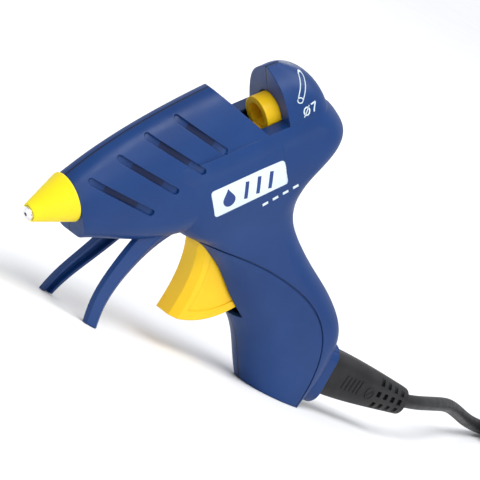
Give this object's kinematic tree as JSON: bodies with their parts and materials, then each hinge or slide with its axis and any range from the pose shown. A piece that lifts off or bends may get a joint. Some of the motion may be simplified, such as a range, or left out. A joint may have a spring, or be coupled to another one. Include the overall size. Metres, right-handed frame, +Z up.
{
  "type": "hot glue gun",
  "caption": "Small trigger-fed hot glue gun for thin sticks, standing nose-down on splayed legs and its grip, with its mains cord and plug.",
  "frame": {"origin": "middle of the gun's footprint on the bench, at bench height; the cord, coil and plug don't count", "axes": "+X from the nozzle towards the grip's back and the cord, +Y to the gun's right, +Z up"},
  "size_m": [0.4107, 0.1378, 0.1128],
  "materials": {
    "blue_shell": "fine moulded texture, satin",
    "nozzle_yellow": "smooth silicone-like nylon",
    "trigger_yellow": "satin moulded nylon",
    "tip_metal": "nickel-plated brass, polished",
    "chamber_alu": "die cast",
    "heater_ceramic": "sintered plate",
    "contact_brass": "sheet",
    "insulation_film": "amber film",
    "spring_steel": "bright spring steel",
    "phenolic": "brown phenolic moulding",
    "seal_red": "red silicone",
    "pin_steel": "ground steel",
    "screw_steel": "zinc plated",
    "wire_brown": "insulation",
    "wire_blue": "insulation",
    "clamp_plastic": "moulded nylon",
    "cord_black": "matt black flexible sheath",
    "plug_black": "moulded",
    "plug_pin_metal": "nickel-plated brass"
  },
  "bodies": {
    "gun": {"housing_left": "blue_shell", "housing_right": "blue_shell", "nozzle_cap": "nozzle_yellow", "nozzle_tip": "tip_metal", "melt_chamber": "chamber_alu", "heater_ptc": "heater_ceramic", "heater_contacts": "contact_brass", "heater_film": "insulation_film", "heater_clip": "spring_steel", "chamber_front_collar": "phenolic", "chamber_rear_support": "phenolic", "inlet_seal": "seal_red", "seal_clamp": "spring_steel", "trigger_pin": "pin_steel", "return_spring": "spring_steel", "stick_guide_bush": "blue_shell", "housing_screws": "screw_steel", "lead_brown": "wire_brown", "lead_blue": "wire_blue", "cord_clamp": "clamp_plastic", "cord_clamp_screws": "screw_steel", "cord_boot": "cord_black", "cord_tail": "cord_black", "cord": "cord_black", "cord_coil": "cord_black", "plug_lead": "cord_black", "plug_body": "plug_black", "plug_pins": "plug_pin_metal"},
    "trigger": {"trigger": "trigger_yellow"},
    "carriage": {"feed_sleeve": "trigger_yellow", "drive_pin": "pin_steel", "jaw_pin": "pin_steel"},
    "jaw": {"grip_jaw": "spring_steel"}
  },
  "joints": [
    {"name": "trigger_pull", "type": "hinge", "parent": "gun", "child": "trigger", "pos_m": [-0.02227, 0, 0.04753], "axis": [0, -1, 0], "range_deg": [0, 18], "stiffness_Nm_per_rad": 0.8, "springref_deg": -5.73},
    {"name": "feed_slide", "type": "slide", "parent": "gun", "child": "carriage", "axis": [-0.749, 0, -0.6626], "range_m": [0, 0.0085]},
    {"name": "jaw_tilt", "type": "hinge", "parent": "carriage", "child": "jaw", "pos_m": [-0.03121, 0, 0.08102], "axis": [0, 1, 0], "range_deg": [0, 6]}
  ],
  "couplings": [
    {"joint": "feed_slide", "follows": "trigger_pull", "m_per_rad": 0.027},
    {"joint": "jaw_tilt", "follows": "trigger_pull", "ratio": 0.33333}
  ]
}
